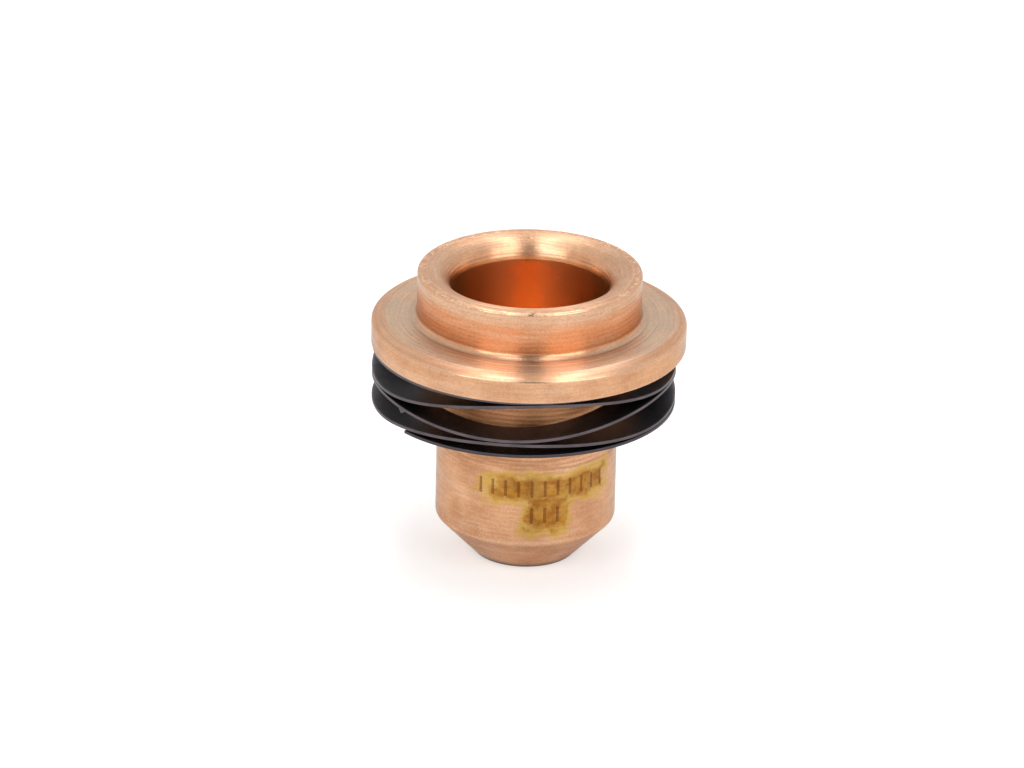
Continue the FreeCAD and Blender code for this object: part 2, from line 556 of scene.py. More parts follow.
@dataclass(frozen=True)
class TurnedCopper(Metal):
    """Copper as it leaves a lathe: fine rings, a heat tint, paler edges, a little dust and painted light and
    shade.
    """

    roughness: float = 0.25
    grooves: float = 0.85
    relief_depth: float = 0.0042
    fresh: Colour = (0.74, 0.4, 0.22, 1.0)
    dull: Colour = (0.6, 0.3, 0.16, 1.0)
    orange: Colour = (0.78, 0.31, 0.135, 1.0)
    bore: Colour = (0.99, 0.56, 0.24, 1.0)
    pale: Colour = (0.84, 0.56, 0.38, 1.0)
    # Painted light for the neck.
    painted_neck_light: Colour = (0.98, 0.47, 0.22, 1.0)
    # Dust, and a painted sheen on faces that look up.
    dust_and_painted_sheen: Colour = (0.57, 0.45, 0.34, 1.0)
    # Dark specks, and painted shade in inner corners and at the foot.
    dirt_and_shade: Colour = (0.12, 0.06, 0.035, 1.0)
    shadow: Colour = (0.4, 0.19, 0.095, 1.0)
    edge_tint: Colour = (0.82, 0.8, 0.78, 1.0)
    neck_radii: Pair = (8.6, 8.8)
    neck_heights: Pair = (13.0, 17.9)
    collar_radii: Pair = (8.8, 9.0)
    collar_heights: Pair = (20.3, 22.9)
    brow_radii: Pair = (8.75, 9.0)
    brow_heights: Pair = (22.2, 23.4)
    land_radii: Pair = (8.2, 8.95)
    land_heights: Pair = (23.62, 23.78)
    flare_radii: Pair = (6.35, 8.15)
    flare_heights: Pair = (22.5, 22.9)
    throat_radii: Pair = (6.0, 6.7)
    throat_heights: Pair = (22.6, 23.0)
    off_collar_radii: Pair = (8.8, 9.3)
    bevel_radii: Pair = (11.4, 12.0)
    streaked_radii: Pair = (11.3, 11.7)
    flange_side: Pair = (12.2, 12.45)
    under_spring: Pair = (12.4, 12.9)
    shaded_heights: Pair = (9.3, 12.2)
    level_facing: Pair = (0.5, 0.85)
    lathe_pitch: float = 0.38
    lathe_waver: float = 0.12
    groove_radii: Pair = (10.165, 10.235)
    groove_heights: Pair = (20.0, 20.3)
    foot_shade_height: float = 0.7
    speck_scale: float = 1.3
    stain: Stain = field(default_factory=Stain)

    def zones(self, sheet: NodeSheet, place: RoundPlace) -> CopperZones:
        """Find the stretches of the body.

        Args:
            sheet: The material's nodes.
            place: Where the point lies.

        Returns:
            Their masks.
        """
        bore = sheet.attribute("bore_wall")
        collar = place.ring(sheet, self.collar_radii, self.collar_heights, (0.05, 0.5))
        throat = place.rising_ring(sheet, self.throat_radii, 0.1, self.throat_heights, (0.6, 0.0))
        facing_up = sheet.parts(sheet.put("ShaderNodeNewGeometry").outputs["Normal"])[2]
        return CopperZones(
            neck=place.ring(sheet, self.neck_radii, self.neck_heights, (0.05, 0.1)),
            collar=collar,
            brow=place.rising_ring(sheet, self.brow_radii, 0.1, self.brow_heights),
            land=place.rising_ring(sheet, self.land_radii, 0.05, self.land_heights),
            flare=place.rising_ring(sheet, self.flare_radii, 0.1, self.flare_heights),
            bore=bore,
            open_air=sheet.math("SUBTRACT", 1.0, bore),
            tooled=sheet.math("SUBTRACT", 1.0, sheet.math("MAXIMUM", bore, throat)),
            level=sheet.remap(facing_up, *self.level_facing),
            off_collar=sheet.remap(place.radius, *self.off_collar_radii, 0.4, 1.0),
            lively=sheet.product(
                sheet.remap(place.height, *self.under_spring, 0.45, 1.0),
                sheet.remap(place.radius, *self.flange_side, 1.0, 0.5),
                sheet.eased(collar, 0.75),
            ),
        )

    def marks(self, sheet: NodeSheet, place: RoundPlace) -> CopperMarks:
        """Make the patterns in the metal.

        Args:
            sheet: The material's nodes.
            place: Where the point lies.

        Returns:
            The patterns.
        """
        broad = place.ring_marks(sheet, pitch=1.1, breaks=1.2)
        path = sheet.total(place.radius, place.height, sheet.product(broad, self.lathe_waver))
        return CopperMarks(
            broad=broad,
            feed=place.ring_marks(sheet, pitch=0.28, breaks=1.7),
            fine=place.ring_marks(sheet, pitch=0.1, breaks=5.0),
            scratches=place.ring_marks(sheet, pitch=2.0, breaks=70.0),
            lathe=sheet.math("SINE", sheet.product(path, 2.0 * pi / self.lathe_pitch)),
            clouds=sheet.noise(place.spot, scale=0.35, detail=3.0, roughness=0.6),
            grain=sheet.noise(place.spot, scale=6.0, detail=2.0, roughness=0.7),
            chips=sheet.remap(sheet.noise(place.spot, scale=1.4, detail=4.0, roughness=0.7), 0.5, 0.6),
        )

    def metal_colour(
        self, sheet: NodeSheet, place: RoundPlace, zones: CopperZones, marks: CopperMarks
    ) -> Socket:
        """Colour of the metal with its rings, worn edges, dust and painted light and shade, before the heat
        tint, the specks and the painted shade at corners and foot.

        Args:
            sheet: The material's nodes.
            place: Where the point lies.
            zones: The stretches of the body.
            marks: The patterns in the metal.

        Returns:
            The colour's socket.
        """
        worn = sheet.total(sheet.attribute("worn_edge"), sheet.product(marks.feed, 0.5))
        chipped = sheet.remap(worn, 0.5, 1.15)
        shaded = sheet.band(place.height, *self.shaded_heights, 0.35)
        uneven = sheet.remap(marks.clouds, 0.2, 0.8, 0.5, 0.8)
        before_bevel = sheet.remap(place.radius, *self.bevel_radii, 1.0, 0.5)
        near_rim = sheet.remap(place.radius, *self.streaked_radii)
        colour = sheet.layered(
            self.fresh,
            (self.dull, sheet.remap(marks.clouds, 0.35, 0.7)),
            (self.orange, zones.collar, 0.8),
            (self.pale, zones.brow, 0.45),
            (self.pale, sheet.remap(marks.broad, 0.45, 0.7), 0.4),
            (self.dull, sheet.remap(marks.feed, 0.5, 0.68), zones.lively, 0.25),
            (self.pale, sheet.remap(marks.feed, 0.48, 0.32), zones.lively, 0.22),
            (self.shadow, shaded, sheet.remap(marks.feed, 0.4, 0.6), 0.55),
            # Painted light: the neck, recessed under the flange, is made bright in colour in place of light
            # reaching it.
            (self.painted_neck_light, zones.neck, 0.85),
            (self.orange, zones.neck, sheet.remap(marks.feed, 0.45, 0.6), 0.5),
            (self.bore, zones.bore, 0.9),
            # Dust and a painted sheen: faces that look up turn greyer and paler, as if mirroring the white
            # room.
            (self.dust_and_painted_sheen, zones.level, uneven, zones.open_air, zones.off_collar, before_bevel),
            (self.dull, near_rim, zones.level, sheet.remap(marks.feed, 0.4, 0.58), 0.6),
            (self.dull, sheet.remap(marks.lathe, 0.2, 1.0), zones.level, 0.16),
            (self.dull, zones.land, 0.6),
            (self.pale, zones.land, marks.chips, 0.5),
            (self.pale, chipped, 0.25),
        )
        darkest = sheet.math("MULTIPLY_ADD", zones.bore, 0.1, 0.86)
        brightest = sheet.math("MULTIPLY_ADD", zones.bore, -0.1, 1.08)
        mottle = sheet.total(sheet.product(marks.grain, 0.6), sheet.product(marks.fine, 0.4))
        shade = sheet.remap(mottle, 0.35, 0.65, darkest, brightest)
        return sheet.blend(1.0, colour, sheet.vector(shade, shade, shade), "MULTIPLY")

    def specks(self, sheet: NodeSheet, place: RoundPlace, zones: CopperZones) -> Socket:
        """Small dark spots, at most one in a cell and none in the bore.

        Args:
            sheet: The material's nodes.
            place: Where the point lies.
            zones: The stretches of the body.

        Returns:
            The mask's socket.
        """
        inputs = {"Vector": place.spot, "Scale": self.speck_scale}
        cells = sheet.put("ShaderNodeTexVoronoi", inputs, feature="F1").outputs
        chosen = sheet.remap(cells["Color"], 0.66, 0.68, smooth=False)
        size = sheet.total(0.03, sheet.product(sheet.noise(place.spot, scale=3.0, detail=1.0), 0.1))
        near = sheet.remap(sheet.math("SUBTRACT", size, cells["Distance"]), 0.0, 0.03)
        return sheet.product(near, chosen, zones.open_air)

    def rough(
        self, sheet: NodeSheet, zones: CopperZones, marks: CopperMarks, tint: Socket, specks: Socket
    ) -> Socket:
        """Roughness of the metal.

        Args:
            sheet: The material's nodes.
            zones: The stretches of the body.
            marks: The patterns in the metal.
            tint: How strong the heat tint is.
            specks: Where the dark spots are.

        Returns:
            The roughness's socket.
        """
        flat_spread = sheet.product(zones.level, zones.off_collar, 0.1)
        spread = sheet.total(flat_spread, sheet.product(zones.flare, 0.08))
        return sheet.total(
            self.roughness,
            sheet.sway(marks.clouds, zones.open_air, 0.16),
            sheet.sway(marks.feed, zones.tooled, 0.2),
            sheet.product(tint, 0.06),
            sheet.product(specks, 0.3),
            sheet.product(zones.bore, -0.04),
            sheet.product(zones.neck, 0.14),
            spread,
        )

    def relief(
        self, sheet: NodeSheet, place: RoundPlace, zones: CopperZones, marks: CopperMarks, ticks: Socket
    ) -> Socket:
        """Height of the tool marks, the scribed groove on the flange's top and the ticks.

        Args:
            sheet: The material's nodes.
            place: Where the point lies.
            zones: The stretches of the body.
            marks: The patterns in the metal.
            ticks: Where the ticks are.

        Returns:
            The height's socket, in steps of relief_depth millimetres.
        """
        groove = place.ring(sheet, self.groove_radii, self.groove_heights, (0.03, 0.02))
        calm = sheet.eased(zones.collar, 0.5)
        tool_marks = sheet.total(
            sheet.product(marks.scratches, zones.level, 1.7),
            sheet.product(marks.lathe, calm, 0.9),
            sheet.product(marks.feed, zones.lively, 4.2),
            sheet.product(marks.fine, 1.3),
            sheet.product(marks.broad, calm, 3.8),
            sheet.product(marks.grain, 0.4),
            sheet.product(zones.land, marks.chips, 6.0),
        )
        return sheet.total(
            sheet.product(tool_marks, zones.tooled),
            sheet.product(marks.scratches, zones.bore, 2.2),
            sheet.product(groove, -6.0),
            sheet.product(ticks, -9.0),
        )

    def material(self) -> bpy.types.Material:
        """Make the copper.

        Returns:
            The finished material.
        """
        material, sheet = new_material("turned copper")
        place = RoundPlace.on(sheet)
        zones = self.zones(sheet, place)
        marks = self.marks(sheet, place)
        specks = self.specks(sheet, place, zones)
        metal = self.metal_colour(sheet, place, zones, marks)
        tinted, tint, ticks = self.stain.lay(sheet, place, metal)
        colour = sheet.layered(
            tinted,
            # Painted shade: darker in the inner corners of the section.
            (self.dirt_and_shade, sheet.attribute("inner_corner"), 0.14),
            # Painted shade: darker towards the bottom of the tip, standing in for the floor's shadow mirrored
            # there.
            (self.dirt_and_shade, sheet.remap(place.height, 0.0, self.foot_shade_height, 0.8, 0.0)),
            (self.dirt_and_shade, specks, 0.55),
        )
        rough = self.rough(sheet, zones, marks, tint, specks)
        relief = self.relief(sheet, place, zones, marks, ticks)
        shader = self.feed_shader(sheet, place, colour, rough, relief)
        shader.inputs["Specular Tint"].default_value = self.edge_tint
        return material


@dataclass(frozen=True)
class OxidisedSteel(Metal):
    """Dark, slightly oily spring steel, rubbed to grey along its edges, less so on the lowest turn, where
    shade is painted.
    """

    roughness: float = 0.42
    grooves: float = 0.3
    relief_depth: float = 0.003
    black: Colour = (0.042, 0.041, 0.05, 1.0)
    brown: Colour = (0.068, 0.057, 0.064, 1.0)
    rubbed: Colour = (0.15, 0.124, 0.129, 1.0)
    axis: Pair = (-0.33, 0.0)
    low_turn_top: Pair = (13.2, 13.6)

    def material(self) -> bpy.types.Material:
        """Make the spring steel.

        Returns:
            The finished material.
        """
        material, sheet = new_material("oxidised spring steel")
        place = RoundPlace.on(sheet, self.axis)
        rolled = place.ring_marks(sheet, pitch=0.11, breaks=4.0)
        clouds = sheet.noise(place.spot, scale=0.8, detail=3.0, roughness=0.6)
        worn = sheet.remap(sheet.total(sheet.attribute("wire_edge"), sheet.sway(clouds, 0.5)), 0.45, 0.9)
        # Painted shade: the rims of the lowest turn keep less of the rubbed grey, so they stay dark.
        painted_low_shade = sheet.remap(place.height, *self.low_turn_top, 0.3, 0.9)
        patches = sheet.remap(sheet.noise(place.spot, scale=0.45), 0.38, 0.6, 0.65, 1.0)
        colour = sheet.layered(
            self.black,
            (self.brown, sheet.remap(clouds, 0.35, 0.7)),
            (self.rubbed, worn, sheet.product(painted_low_shade, patches)),
            (self.rubbed, sheet.remap(rolled, 0.55, 0.8), 0.25),
        )
        rough = sheet.total(self.roughness, sheet.sway(rolled, 0.25))
        self.feed_shader(sheet, place, colour, rough, rolled)
        return material


@dataclass(frozen=True)
class Corner:
    """A corner of the turned section in millimetres, and how far it is rounded."""

    radius: float
    height: float
    rounding: float


@dataclass(frozen=True)
class Arc:
    """A corner once it is rounded: its points, each with the way it faces, and how it wears."""

    points: list[tuple[Vector, Vector]]
    bend: Bend
    worn_edge: float

    @property
    def inner_corner(self) -> float:
        """1 where the outline turns inward and shade is painted, else 0."""
        return float(self.bend is Bend.INWARD)


@dataclass(frozen=True)
class SectionPoint:
    """A point of the smooth section, with the way it faces and its share of wear and of painted corner shade.
    """

    radius: float
    height: float
    out_radius: float
    out_height: float
    worn_edge: float
    inner_corner: float
    bore_wall: float


def turned(angles: np.ndarray, outline: list[Pair]) -> np.ndarray:
    """Turn an outline about the Z axis, from the front towards +X.

    Args:
        angles: The turns, in radians.
        outline: A distance from the axis and a height for each point.

    Returns:
        Three numbers for every point of every turn, in order.
    """
    outward, upward = np.array(outline).T
    across, along = np.outer(np.sin(angles), outward), np.outer(-np.cos(angles), outward)
    return np.stack([across, along, np.outer(np.ones(len(angles)), upward)], axis=-1).reshape(-1, 3)


@dataclass
class CopperNozzle:
    """The copper body, turned about the Z axis from one section. All sizes in millimetres."""

    finish: TurnedCopper
    tip_radius: float = 4.1
    cone_height: float = 3.3
    body_radius: float = 7.2
    shoulder_height: float = 12.27
    lip_radius: float = 9.75
    lip_top: float = 12.97
    neck_radius: float = 8.7
    flange_under: float = 17.92
    flange_radius: float = 12.5
    flange_rim: float = 19.73
    flange_top: float = 20.13
    bevel_width: float = 0.7
    collar_radius: float = 8.9
    mouth_height: float = 23.93
    land_width: float = 0.73
    flare_top: float = 23.83
    flare_corner: float = 6.25
    throat_height: float = 22.0
    bore_radius: float = 6.2
    bore_floor: float = 13.03
    chamber_radius: float = 5.2
    chamber_floor: float = 6.4
    orifice_radius: float = 0.95
    orifice_top: float = 2.9
    orifice_chamfer: float = 0.2
    edge_round: float = 0.07
    tool_round: float = 0.12
    orifice_round: float = 0.03
    cone_round: float = 0.3
    rim_round: float = 0.2
    bevel_round: float = 2.2
    root_round: float = 0.5
    mouth_round: float = 0.26
    land_round: float = 0.08
    flare_round: float = 1.85
    throat_round: float = 0.5
    chamber_round: float = 0.3
    widest_worn_round: float = 1.0
    wear_reach: float = 0.16
    bore_tint_rise: float = 0.72
    bore_tint_fade: float = 0.65
    bore_tint_reach: float = 0.3
    bore_tint_bottom: float = 0.5
    bore_tint_facing: float = 0.2
    close_points: Pair = (0.1, 0.25)
    even_points: float = 0.7
    arc_step: float = 11.0
    around: int = 256

    def corners(self) -> list[Corner]:
        """Corners of the section, up the outside and down the inside.

        Returns:
            The corners in order, starting at the orifice.
        """
        edge, tool = self.edge_round, self.tool_round
        return [
            Corner(self.orifice_radius + self.orifice_chamfer, 0.0, self.orifice_round),
            Corner(self.tip_radius, 0.0, tool),
            Corner(self.body_radius, self.cone_height, self.cone_round),
            Corner(self.body_radius, self.shoulder_height, tool),
            Corner(self.lip_radius, self.shoulder_height, edge),
            Corner(self.lip_radius, self.lip_top, edge),
            Corner(self.neck_radius, self.lip_top, tool),
            Corner(self.neck_radius, self.flange_under, tool),
            Corner(self.flange_radius, self.flange_under, edge),
            Corner(self.flange_radius, self.flange_rim, self.rim_round),
            Corner(self.flange_radius - self.bevel_width, self.flange_top, self.bevel_round),
            Corner(self.collar_radius, self.flange_top, self.root_round),
            Corner(self.collar_radius, self.mouth_height, self.mouth_round),
            Corner(self.collar_radius - self.land_width, self.mouth_height, self.land_round),
            Corner(self.flare_corner, self.flare_top, self.flare_round),
            Corner(self.bore_radius, self.throat_height, self.throat_round),
            Corner(self.bore_radius, self.bore_floor, tool),
            Corner(self.chamber_radius, self.bore_floor, edge),
            Corner(self.chamber_radius, self.chamber_floor, self.chamber_round),
            Corner(self.orifice_radius, self.orifice_top, edge),
            Corner(self.orifice_radius, self.orifice_chamfer, self.orifice_round),
        ]

    def section(self) -> list[SectionPoint]:
        """The smooth section through the corners, each point with its exact outward direction.

        Returns:
            The points in order, closed from the last to the first.
        """
        corners = self.corners()
        after = corners[1:] + corners[:1]
        arcs = [self.arc(corners[index - 1], corner, after[index]) for index, corner in enumerate(corners)]
        section = []
        for arc, ahead in zip(arcs, arcs[1:] + arcs[:1]):
            for point, out in arc.points:
                section.append(self.section_point(point, out, arc.worn_edge, arc.inner_corner))
            section += self.side(arc, ahead)
        return section

    def arc(self, before: Corner, corner: Corner, after: Corner) -> Arc:
        """Round one corner of the section.

        Args:
            before: The corner before it.
            corner: The corner itself.
            after: The corner after it.

        Returns:
            The arc, its points in order.
        """
        came = Vector((corner.radius - before.radius, corner.height - before.height)).normalized()
        goes = Vector((after.radius - corner.radius, after.height - corner.height)).normalized()
        swing = atan2(came.x * goes.y - came.y * goes.x, came.dot(goes))
        bend = Bend.OUTWARD if swing > 0.0 else Bend.INWARD
        reach = corner.rounding * tan(abs(swing) / 2.0)
        facing = Vector((came.y, -came.x))
        start = Vector((corner.radius, corner.height)) - came * reach
        centre = start - facing * corner.rounding * bend.value
        steps = max(2, ceil(abs(degrees(swing)) / self.arc_step))
        points = []
        for step in range(steps + 1):
            cosine, sine = cos(swing * step / steps), sin(swing * step / steps)
            out = Vector((facing.x * cosine - facing.y * sine, facing.x * sine + facing.y * cosine))
            points.append((centre + out * corner.rounding * bend.value, out))
        worn = float(bend is Bend.OUTWARD and corner.rounding < self.widest_worn_round)
        return Arc(points, bend, worn)

    def side(self, arc: Arc, ahead: Arc) -> list[SectionPoint]:
        """Points of the straight side between two arcs, where their wear and painted corner shade fade.

        Args:
            arc: The arc that it leaves.
            ahead: The arc that it meets.

        Returns:
            The points in order, without the side's ends.
        """
        start, out = arc.points[-1]
        end = ahead.points[0][0]
        length = (end - start).length
        worn_ahead = 1.0 - ahead.inner_corner
        points = []
        for share in self.spacing(length):
            near, far = (exp(-part * length / self.wear_reach) for part in (share, 1.0 - share))
            worn = max(arc.worn_edge * near, worn_ahead * far)
            corner_shade = max(arc.inner_corner * near, ahead.inner_corner * far)
            points.append(self.section_point(start.lerp(end, share), out, worn, corner_shade))
        return points

    def spacing(self, length: float) -> list[float]:
        """Shares of a straight side where points are needed: close at its ends, even between.

        Args:
            length: The side's length in millimetres.

        Returns:
            The shares, without 0 and 1.
        """
        longest_share = 0.4
        places = [place for place in self.close_points if place < length * longest_share]
        inner_start = places[-1] if places else 0.0
        inner = length - 2.0 * inner_start
        count = max(1, ceil(inner / self.even_points))
        middle = [inner_start + inner * step / count for step in range(count + 1)]
        every = places + middle + [length - place for place in places]
        return sorted({round(place / length, 6) for place in every if 0.0 < place < length})

    def section_point(self, place: Vector, out: Vector, worn: float, corner_shade: float) -> SectionPoint:
        """Put one point of the section together, with its share of the bore's finish.

        Args:
            place: Its distance from the axis and its height.
            out: The way it faces.
            worn: Its share of the wear.
            corner_shade: Its share of the painted corner shade.

        Returns:
            The point. The bore's finish fades in below the flare.
        """
        deep = (self.throat_height + self.bore_tint_rise - place.y) / self.bore_tint_fade
        within = place.x < self.flare_corner + self.bore_tint_reach and place.y > self.bore_tint_bottom
        faces_in = out.x < self.bore_tint_facing
        inside = min(max(deep, 0.0), 1.0) if within and faces_in else 0.0
        return SectionPoint(place.x, place.y, out.x, out.y, worn, corner_shade, inside)

    def build(self) -> bpy.types.Object:
        """Turn the section about the axis.

        Returns:
            The body's object, smooth, with its wear and painted corner shade as attributes.
        """
        section = self.section()
        angles = np.linspace(0.0, 2.0 * pi, self.around, endpoint=False)
        places = turned(angles, [(point.radius, point.height) for point in section])
        facing = turned(angles, [(point.out_radius, point.out_height) for point in section])
        count = len(section)
        ring = np.arange(self.around)[:, None] * count
        ring_ahead = np.roll(ring, -1, axis=0)
        here = np.arange(count)[None, :]
        ahead = np.roll(here, -1, axis=1)
        faces = np.stack([ring + here, ring_ahead + here, ring_ahead + ahead, ring + ahead], axis=-1)
        mesh = bpy.data.meshes.new("copper_nozzle")
        mesh.from_pydata((places * MM).tolist(), [], faces.reshape(-1, 4).tolist())
        for name in ("worn_edge", "inner_corner", "bore_wall"):
            values = np.tile([getattr(point, name) for point in section], self.around)
            layer = mesh.attributes.new(name, "FLOAT", "POINT")
            layer.data.foreach_set("value", values.astype(np.float32))
        mesh.polygons.foreach_set("use_smooth", np.ones(len(mesh.polygons), dtype=bool))
        mesh.update()
        mesh.normals_split_custom_set_from_vertices(facing.tolist())
        body = new_object("copper_nozzle", mesh, self.finish.material())
        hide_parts("nozzle_body")
        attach(body, "root")
        log.info("copper_nozzle: %d section points, %d faces", count, len(mesh.polygons))
        return body


@dataclass
class FlatWireSpring:
    """The wave spring: a flat turn, waved turns that meet crest to crest, and a flat turn.

    Lengths are in millimetres and angles in degrees. Angles run along the wire, which climbs as they grow.
    """

    finish: OxidisedSteel
    inner_radius: float = 9.43
    wire_width: float = 2.65
    wire_thickness: float = 0.25
    wire_round: float = 0.03
    side_play: float = 0.33
    tilt: float = 0.35
    seat_height: float = 13.0496
    spring_height: float = 4.7567
    turn_gap: float = 0.05
    waves_per_turn: float = 2.455
    waved_crests: int = 5
    wave_growth: float = 0.433
    crest_zero: float = -10.4
    wire_start: float = -410.0
    lower_flat_end: float = -110.0
    waves_start: float = -50.0
    burr_angle: float = 308.05
    burr_drop: float = 0.3
    burr_reach: float = 0.04
    merge_distance: float = 0.0005
    along: int = 784
    worn_width: float = 0.8
    corner_steps: int = 4
    width_steps: int = 8

    def crest_angle(self, number: float) -> float:
        """Angle along the wire of a crest, counted from 0. Halves give the troughs between."""
        return self.crest_zero + 360.0 * number / self.waves_per_turn

    def wave_shape(self, angle: float) -> float:
        """Height of the waved wire for waves of 1 mm at angle 0 and wire of no thickness."""
        turns = angle / 360.0
        climb = self.climb_factor() * (turns + self.wave_growth * turns * turns / 2.0)
        size = 1.0 + self.wave_growth * turns
        return climb + size * cos(radians(self.waves_per_turn * (angle - self.crest_zero)))

    def climb_factor(self) -> float:
        """How far the middle of the waves climbs in a turn, so that each crest meets the trough above it."""
        return 2.0 * abs(sin(pi * self.waves_per_turn))

    def rule(self) -> dict[str, float]:
        """Numbers that the wave's rule needs, worked out from the sizes.

        Returns:
            The numbers by the names of the tree's inputs.
        """
        first_trough = self.crest_angle(0.5)
        last_crest = self.crest_angle(self.waved_crests)
        last_trough = self.crest_angle(self.waved_crests + 0.5)
        pitch = self.wire_thickness + self.turn_gap
        room = self.spring_height - 3.0 * self.wire_thickness - 2.0 * self.turn_gap
        lift = room - pitch * (last_crest - first_trough) / 360.0
        trough_shape = self.wave_shape(first_trough)
        return {
            "Waves per turn": self.waves_per_turn,
            "Climb": self.climb_factor(),
            "Wave growth": self.wave_growth,
            "First crest": self.crest_zero,
            "First trough": first_trough,
            "Trough shape": trough_shape,
            "Wave height": lift / (self.wave_shape(last_crest) - trough_shape),
            "Turn pitch": pitch,
            "Top level": self.spring_height - self.wire_thickness,
            "Wire start": self.wire_start,
            "Wire end": last_trough + 360.0,
            "Lower flat end": self.lower_flat_end,
            "Waves start": self.waves_start,
            "Last trough": last_trough,
            "Upper flat start": self.crest_angle(self.waved_crests + 1),
            "Middle radius": self.inner_radius + self.wire_width / 2.0,
            "Wire width": self.wire_width,
            "Wire thickness": self.wire_thickness,
            "Wire round": self.wire_round,
            "Burr angle": self.burr_angle,
            "Burr drop": self.burr_drop,
            "Burr reach": self.burr_reach,
        }

    def tree(self) -> bpy.types.NodeTree:
        """Build the Geometry Nodes tree that winds the wire.

        Returns:
            The tree, with every size as a named input.
        """
        tree = bpy.data.node_groups.new("wind the flat wire", "GeometryNodeTree")
        tree.interface.new_socket("Geometry", in_out="INPUT", socket_type="NodeSocketGeometry")
        for name, value in self.rule().items():
            socket = tree.interface.new_socket(name, in_out="INPUT", socket_type="NodeSocketFloat")
            socket.default_value = value
        tree.interface.new_socket("Steel", in_out="INPUT", socket_type="NodeSocketMaterial")
        tree.interface.new_socket("Geometry", in_out="OUTPUT", socket_type="NodeSocketGeometry")
        sheet = NodeSheet(tree)
        given = sheet.put("NodeGroupInput").outputs

        around = 4 * self.corner_steps + 2 + 2 * self.width_steps
        counts = {"Vertices X": self.along, "Vertices Y": around + 1}
        grid = sheet.put("GeometryNodeMeshGrid", {"Size X": 1.0, "Size Y": 1.0} | counts)
        spot = sheet.parts(sheet.put("GeometryNodeInputPosition").outputs[0])
        share = sheet.math("ADD", spot[0], 0.5)
        step = sheet.math("MULTIPLY", sheet.math("ADD", spot[1], 0.5), float(around))
        length = sheet.math("SUBTRACT", given["Wire end"], given["Wire start"])
        angle = sheet.math("MULTIPLY_ADD", share, length, given["Wire start"])
        level = self.level_nodes(sheet, given, angle)
        slide, rise, swing = self.outline_steps(sheet, step)

        swing_rad = sheet.math("RADIANS", swing)
        outward, upward = (
            sheet.math(
                "MULTIPLY_ADD",
                way,
                sheet.math("SUBTRACT", sheet.product(given[size], 0.5), given["Wire round"]),
                sheet.product(given["Wire round"], sheet.math(wave, swing_rad)),
            )
            for way, size, wave in ((slide, "Wire width", "COSINE"), (rise, "Wire thickness", "SINE"))
        )
        burr = self.burr_nodes(sheet, given, angle, step)
        radius = sheet.total(given["Middle radius"], outward, sheet.product(burr, given["Burr reach"]))
        drop = sheet.product(burr, given["Burr drop"], -1.0)
        height = sheet.total(level, upward, sheet.product(given["Wire thickness"], 0.5), drop)
        turn = sheet.math("RADIANS", angle)
        place = sheet.vector(
            sheet.product(radius, sheet.math("SINE", turn), MM),
            sheet.product(radius, sheet.math("COSINE", turn), -MM),
            sheet.product(height, MM),
        )
        edge = sheet.remap(sheet.math("ABSOLUTE", slide), self.worn_width, 1.0)
        stored = sheet.put(
            "GeometryNodeStoreNamedAttribute",
            {"Geometry": grid.outputs["Mesh"], "Name": "wire_edge", "Value": edge},
            data_type="FLOAT",
            domain="POINT",
        )
        moved = sheet.put("GeometryNodeSetPosition", {"Geometry": stored.outputs[0], "Position": place})
        reach = {"Distance": self.merge_distance * MM}
        joined = sheet.put("GeometryNodeMergeByDistance", {"Geometry": moved.outputs[0]} | reach)
        smooth = sheet.put("GeometryNodeSetShadeSmooth", {"Geometry": joined.outputs[0]})
        real = sheet.put("GeometryNodeRealizeInstances", {"Geometry": smooth.outputs[0]})
        inputs = {"Geometry": real.outputs[0], "Material": given["Steel"]}
        dressed = sheet.put("GeometryNodeSetMaterial", inputs)
        sheet.put("NodeGroupOutput", {0: dressed.outputs[0]})
        return tree

    def level_nodes(self, sheet: NodeSheet, given: bpy.types.NodeOutputs, angle: Socket) -> Value:
        """Nodes for the height of the wire's underside over the lower flat turn.

        Args:
            sheet: The tree's nodes.
            given: The tree's inputs.
            angle: Angle along the wire in degrees.

        Returns:
            The height's socket, in millimetres.
        """
        turns = sheet.math("DIVIDE", angle, 360.0)
        half_square = sheet.product(turns, turns, 0.5)
        grown_turns = sheet.math("MULTIPLY_ADD", half_square, given["Wave growth"], turns)
        climb = sheet.product(given["Climb"], grown_turns)
        size = sheet.math("MULTIPLY_ADD", turns, given["Wave growth"], 1.0)
        phase = sheet.product(given["Waves per turn"], sheet.math("SUBTRACT", angle, given["First crest"]))
        shape = sheet.math("MULTIPLY_ADD", size, sheet.math("COSINE", sheet.math("RADIANS", phase)), climb)
        waves = sheet.product(given["Wave height"], sheet.math("SUBTRACT", shape, given["Trough shape"]))
        past_trough = sheet.math("DIVIDE", sheet.math("SUBTRACT", angle, given["First trough"]), 360.0)
        pitch = sheet.product(given["Turn pitch"], sheet.math("ADD", past_trough, 1.0))
        waved = sheet.total(pitch, waves)
        into_waves = sheet.remap(angle, given["Lower flat end"], given["Waves start"])
        into_flat = sheet.remap(angle, given["Last trough"], given["Upper flat start"])
        before = sheet.product(sheet.math("SUBTRACT", 1.0, into_flat), waved)
        after = sheet.product(into_flat, given["Top level"])
        return sheet.product(into_waves, sheet.total(before, after))

    def burr_nodes(
        self, sheet: NodeSheet, given: bpy.types.NodeOutputs, angle: Socket, step: Socket
    ) -> Value:
        """Nodes for the small burr that hangs from the lower outer corner of the wire at one place.

        Args:
            sheet: The tree's nodes.
            given: The tree's inputs.
            angle: Angle along the wire in degrees.
            step: How many steps round the section the point lies.

        Returns:
            The burr's share at each point, from 0 to 1.
        """
        step_angle = (self.rule()["Wire end"] - self.wire_start) / (self.along - 1)
        away = sheet.math("ABSOLUTE", sheet.math("SUBTRACT", angle, given["Burr angle"]))
        here = sheet.remap(away, 0.0, step_angle, 1.0, 0.0, smooth=False)
        start, end = self.corner_steps * 0.5, self.corner_steps + 0.5
        low_corner = sheet.remap(step, start, end, 1.0, 0.0, smooth=False)
        return sheet.product(here, low_corner)

